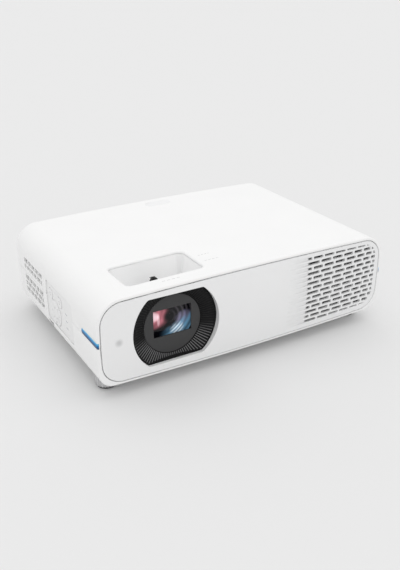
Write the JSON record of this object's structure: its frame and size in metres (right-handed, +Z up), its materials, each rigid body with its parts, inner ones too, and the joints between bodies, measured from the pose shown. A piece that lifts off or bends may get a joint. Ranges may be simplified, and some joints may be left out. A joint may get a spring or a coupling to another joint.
{
  "type": "home projector",
  "caption": "White table-top video projector with a round off-centre lens, slotted vent, lever recess, side keypad, rear sockets and screw feet.",
  "frame": {"origin": "on the table, under the middle of the projector's length and width", "axes": "+X to the right of someone who looks at the lens, +Y from the lens to the sockets, +Z up"},
  "size_m": [0.305, 0.219, 0.095],
  "materials": {
    "white_casing": "fine satin texture",
    "white_front": "fine satin texture",
    "white_recess": "satin",
    "white_keypad": "satin",
    "white_keys": "satin",
    "indicator_lens": "clear",
    "silver_badge": "smooth",
    "blue_trim": "smooth",
    "ir_filter": "smoked",
    "black_bezel": "radial ribs",
    "dark_mask": "matt",
    "black_lens_plastic": "moulded",
    "coated_glass": "coated",
    "cast_engine": "die cast",
    "optical_glass": "polished",
    "chip_ceramic": "smooth",
    "green_board": "solder mask",
    "led_copper": "plated",
    "fin_aluminium": "rolled",
    "copper_pipe": "drawn",
    "black_fan": "moulded",
    "socket_steel": "plated",
    "black_socket": "moulded",
    "speaker_cone": "paper cone",
    "foot_rubber": "matt",
    "foot_plastic": "ribbed",
    "brass_insert": "knurled",
    "zinc_screw": "zinc plated"
  },
  "bodies": {
    "chassis": {"ac_inlet": "black_socket", "accent_strip_left": "blue_trim", "accent_strip_right": "blue_trim", "adjustment_well": "white_recess", "audio_jacks": "black_socket", "badge_plate": "silver_badge", "bottom_cover": "white_casing", "ceiling_inserts": "brass_insert", "condenser_lenses": "optical_glass", "cover_screws": "zinc_screw", "dichroic_mirrors": "optical_glass", "engine_housing": "cast_engine", "engine_lid": "cast_engine", "exhaust_fan_frame": "black_fan", "front_panel": "white_front", "hdmi_sockets": "socket_steel", "heat_pipes": "copper_pipe", "imaging_board": "green_board", "imaging_chip": "chip_ceramic", "indicator_lights": "indicator_lens", "intake_fan_frame": "black_fan", "ir_window": "ir_filter", "keypad_board": "green_board", "keypad_panel": "white_keypad", "lan_socket": "socket_steel", "led_heatsinks": "fin_aluminium", "led_modules": "led_copper", "lens_barrel": "black_lens_plastic", "lens_bezel": "black_bezel", "lens_mask": "dark_mask", "main_board": "green_board", "power_supply": "green_board", "rear_feet": "foot_rubber", "rear_lens_glass": "coated_glass", "rear_panel": "white_casing", "serial_port": "socket_steel", "speaker": "speaker_cone", "tir_prism": "optical_glass", "top_cover": "white_casing", "usb_socket": "socket_steel"},
    "focus_ring": {"focus_ring": "black_lens_plastic"},
    "front_lens_group": {"front_lens_cell": "black_lens_plastic", "front_lens_glass": "coated_glass"},
    "zoom_ring": {"zoom_ring": "black_lens_plastic"},
    "zoom_lens_group": {"zoom_lens_cell": "black_lens_plastic", "zoom_lens_glass": "coated_glass"},
    "foot_pad_left": {"foot_pad_left": "foot_rubber"},
    "foot_pad_right": {"foot_pad_right": "foot_rubber"},
    "foot_screw_left": {"foot_screw_left": "foot_plastic"},
    "foot_screw_right": {"foot_screw_right": "foot_plastic"},
    "exhaust_rotor": {"exhaust_fan_rotor": "black_fan"},
    "intake_rotor": {"intake_fan_rotor": "black_fan"},
    "key_power": {"key_power": "white_keys"},
    "key_source": {"key_source": "white_keys"},
    "key_ok": {"key_ok": "white_keys"},
    "key_up": {"key_up": "white_keys"},
    "key_down": {"key_down": "white_keys"},
    "key_left": {"key_left": "white_keys"},
    "key_right": {"key_right": "white_keys"}
  },
  "joints": [
    {"name": "focus_travel", "type": "slide", "parent": "chassis", "child": "front_lens_group", "axis": [0, -1, 0], "range_m": [-0.0009, 0.0009]},
    {"name": "focus_turn", "type": "hinge", "parent": "chassis", "child": "focus_ring", "pos_m": [-0.0794, -0.0785, 0.0539], "axis": [0, 1, 0], "range_deg": [-20, 20]},
    {"name": "zoom_travel", "type": "slide", "parent": "chassis", "child": "zoom_lens_group", "axis": [0, -1, 0], "range_m": [-0.003, 0.003]},
    {"name": "zoom_turn", "type": "hinge", "parent": "chassis", "child": "zoom_ring", "pos_m": [-0.0794, -0.062, 0.0539], "axis": [0, 1, 0], "range_deg": [-20, 20]},
    {"name": "exhaust_spin", "type": "hinge", "parent": "chassis", "child": "exhaust_rotor", "pos_m": [0.097, -0.0855, 0.054], "axis": [0, 1, 0], "continuous": true},
    {"name": "intake_spin", "type": "hinge", "parent": "chassis", "child": "intake_rotor", "pos_m": [-0.14, 0.0515, 0.049], "axis": [1, 0, 0], "continuous": true},
    {"name": "key_power_press", "type": "slide", "parent": "chassis", "child": "key_power", "axis": [1, 0, 0], "range_m": [0, 0.0005], "stiffness_N_per_m": 800},
    {"name": "key_source_press", "type": "slide", "parent": "chassis", "child": "key_source", "axis": [1, 0, 0], "range_m": [0, 0.0005], "stiffness_N_per_m": 800},
    {"name": "key_ok_press", "type": "slide", "parent": "chassis", "child": "key_ok", "axis": [1, 0, 0], "range_m": [0, 0.0005], "stiffness_N_per_m": 800},
    {"name": "key_up_press", "type": "slide", "parent": "chassis", "child": "key_up", "axis": [1, 0, 0], "range_m": [0, 0.0005], "stiffness_N_per_m": 800},
    {"name": "key_down_press", "type": "slide", "parent": "chassis", "child": "key_down", "axis": [1, 0, 0], "range_m": [0, 0.0005], "stiffness_N_per_m": 800},
    {"name": "key_left_press", "type": "slide", "parent": "chassis", "child": "key_left", "axis": [1, 0, 0], "range_m": [0, 0.0005], "stiffness_N_per_m": 800},
    {"name": "key_right_press", "type": "slide", "parent": "chassis", "child": "key_right", "axis": [1, 0, 0], "range_m": [0, 0.0005], "stiffness_N_per_m": 800},
    {"name": "foot_left_extend", "type": "slide", "parent": "chassis", "child": "foot_pad_left", "axis": [0, 0, -1], "range_m": [0, 0.012]},
    {"name": "foot_left_turn", "type": "hinge", "parent": "foot_pad_left", "child": "foot_screw_left", "pos_m": [-0.136, -0.0805, 0.006], "axis": [0, 0, 1], "range_deg": [0, 2880]},
    {"name": "foot_right_extend", "type": "slide", "parent": "chassis", "child": "foot_pad_right", "axis": [0, 0, -1], "range_m": [0, 0.012]},
    {"name": "foot_right_turn", "type": "hinge", "parent": "foot_pad_right", "child": "foot_screw_right", "pos_m": [0.136, -0.0805, 0.006], "axis": [0, 0, 1], "range_deg": [0, 2880]}
  ],
  "couplings": [
    {"joint": "focus_turn", "follows": "focus_travel", "rad_per_m": 387.85},
    {"joint": "zoom_turn", "follows": "zoom_travel", "rad_per_m": 116.36},
    {"joint": "foot_left_turn", "follows": "foot_left_extend", "rad_per_m": 4188.8},
    {"joint": "foot_right_turn", "follows": "foot_right_extend", "rad_per_m": 4188.8}
  ]
}
